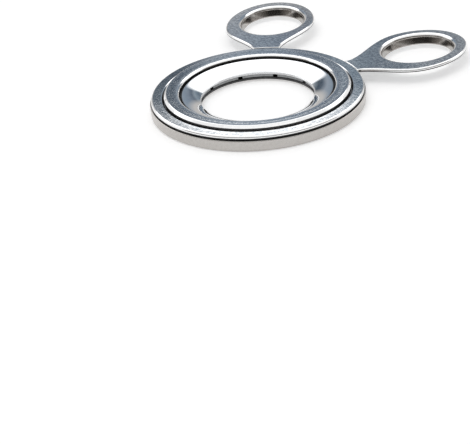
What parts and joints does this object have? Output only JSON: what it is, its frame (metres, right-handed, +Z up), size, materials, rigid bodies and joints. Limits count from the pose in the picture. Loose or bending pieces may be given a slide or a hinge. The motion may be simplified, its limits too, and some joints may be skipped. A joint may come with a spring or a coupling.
{
  "type": "egg topper",
  "caption": "Egg topper: a stepped steel ring with a polished dish and two finger-loop handles that are squeezed together to swing small blades into the shell.",
  "frame": {"origin": "centre of the egg opening, on the plane that the cup's foot rests on", "axes": "+Z up through the egg opening towards the dish, +Y between the two handles, +X to the right-hand handle"},
  "size_m": [0.0834, 0.0957, 0.0061],
  "materials": {
    "satin_steel": "satin stainless steel with a fine mottled grain on its flats and bright rounded edges",
    "handle_steel": "satin stainless steel, with polished rounded edges and finger holes",
    "cup_steel": "smooth satin stainless steel",
    "mirror_steel": "mirror-polished stainless steel",
    "inner_steel": "plain pressed steel, unpolished",
    "blade_steel": "plain hardened steel",
    "pin_steel": "plain turned steel"
  },
  "bodies": {
    "cup": {"base_cup": "cup_steel", "lower_handle": "handle_steel", "dish": "mirror_steel", "hub_ring": "satin_steel", "pivot_studs": "pin_steel"},
    "rim": {"rim_ring": "satin_steel", "upper_handle": "handle_steel", "cam_ring": "inner_steel"},
    "blade_01": {"blade_01": "blade_steel", "cam_pin_01": "pin_steel"},
    "blade_02": {"blade_02": "blade_steel", "cam_pin_02": "pin_steel"},
    "blade_03": {"blade_03": "blade_steel", "cam_pin_03": "pin_steel"},
    "blade_04": {"blade_04": "blade_steel", "cam_pin_04": "pin_steel"},
    "blade_05": {"blade_05": "blade_steel", "cam_pin_05": "pin_steel"},
    "blade_06": {"blade_06": "blade_steel", "cam_pin_06": "pin_steel"},
    "blade_07": {"blade_07": "blade_steel", "cam_pin_07": "pin_steel"},
    "blade_08": {"blade_08": "blade_steel", "cam_pin_08": "pin_steel"},
    "blade_09": {"blade_09": "blade_steel", "cam_pin_09": "pin_steel"},
    "blade_10": {"blade_10": "blade_steel", "cam_pin_10": "pin_steel"}
  },
  "joints": [
    {"name": "squeeze", "type": "hinge", "parent": "cup", "child": "rim", "pos_m": [0, 0, 0.0043], "axis": [0, 0, 1], "range_deg": [0, 30]},
    {"name": "blade_01_swing", "type": "hinge", "parent": "cup", "child": "blade_01", "pos_m": [0.0213, 0, 0.0018], "axis": [0, 0, 1], "range_deg": [0, 24.1]},
    {"name": "blade_02_swing", "type": "hinge", "parent": "cup", "child": "blade_02", "pos_m": [0.01723, 0.01252, 0.0018], "axis": [0, 0, 1], "range_deg": [0, 24.1]},
    {"name": "blade_03_swing", "type": "hinge", "parent": "cup", "child": "blade_03", "pos_m": [0.00658, 0.02026, 0.0018], "axis": [0, 0, 1], "range_deg": [0, 24.1]},
    {"name": "blade_04_swing", "type": "hinge", "parent": "cup", "child": "blade_04", "pos_m": [-0.00658, 0.02026, 0.0018], "axis": [0, 0, 1], "range_deg": [0, 24.1]},
    {"name": "blade_05_swing", "type": "hinge", "parent": "cup", "child": "blade_05", "pos_m": [-0.01723, 0.01252, 0.0018], "axis": [0, 0, 1], "range_deg": [0, 24.1]},
    {"name": "blade_06_swing", "type": "hinge", "parent": "cup", "child": "blade_06", "pos_m": [-0.0213, 0, 0.0018], "axis": [0, 0, 1], "range_deg": [0, 24.1]},
    {"name": "blade_07_swing", "type": "hinge", "parent": "cup", "child": "blade_07", "pos_m": [-0.01723, -0.01252, 0.0018], "axis": [0, 0, 1], "range_deg": [0, 24.1]},
    {"name": "blade_08_swing", "type": "hinge", "parent": "cup", "child": "blade_08", "pos_m": [-0.00658, -0.02026, 0.0018], "axis": [0, 0, 1], "range_deg": [0, 24.1]},
    {"name": "blade_09_swing", "type": "hinge", "parent": "cup", "child": "blade_09", "pos_m": [0.00658, -0.02026, 0.0018], "axis": [0, 0, 1], "range_deg": [0, 24.1]},
    {"name": "blade_10_swing", "type": "hinge", "parent": "cup", "child": "blade_10", "pos_m": [0.01723, -0.01252, 0.0018], "axis": [0, 0, 1], "range_deg": [0, 24.1]}
  ],
  "couplings": [
    {"joint": "blade_01_swing", "follows": "squeeze", "ratio": 0.8},
    {"joint": "blade_02_swing", "follows": "squeeze", "ratio": 0.8},
    {"joint": "blade_03_swing", "follows": "squeeze", "ratio": 0.8},
    {"joint": "blade_04_swing", "follows": "squeeze", "ratio": 0.8},
    {"joint": "blade_05_swing", "follows": "squeeze", "ratio": 0.8},
    {"joint": "blade_06_swing", "follows": "squeeze", "ratio": 0.8},
    {"joint": "blade_07_swing", "follows": "squeeze", "ratio": 0.8},
    {"joint": "blade_08_swing", "follows": "squeeze", "ratio": 0.8},
    {"joint": "blade_09_swing", "follows": "squeeze", "ratio": 0.8},
    {"joint": "blade_10_swing", "follows": "squeeze", "ratio": 0.8}
  ]
}
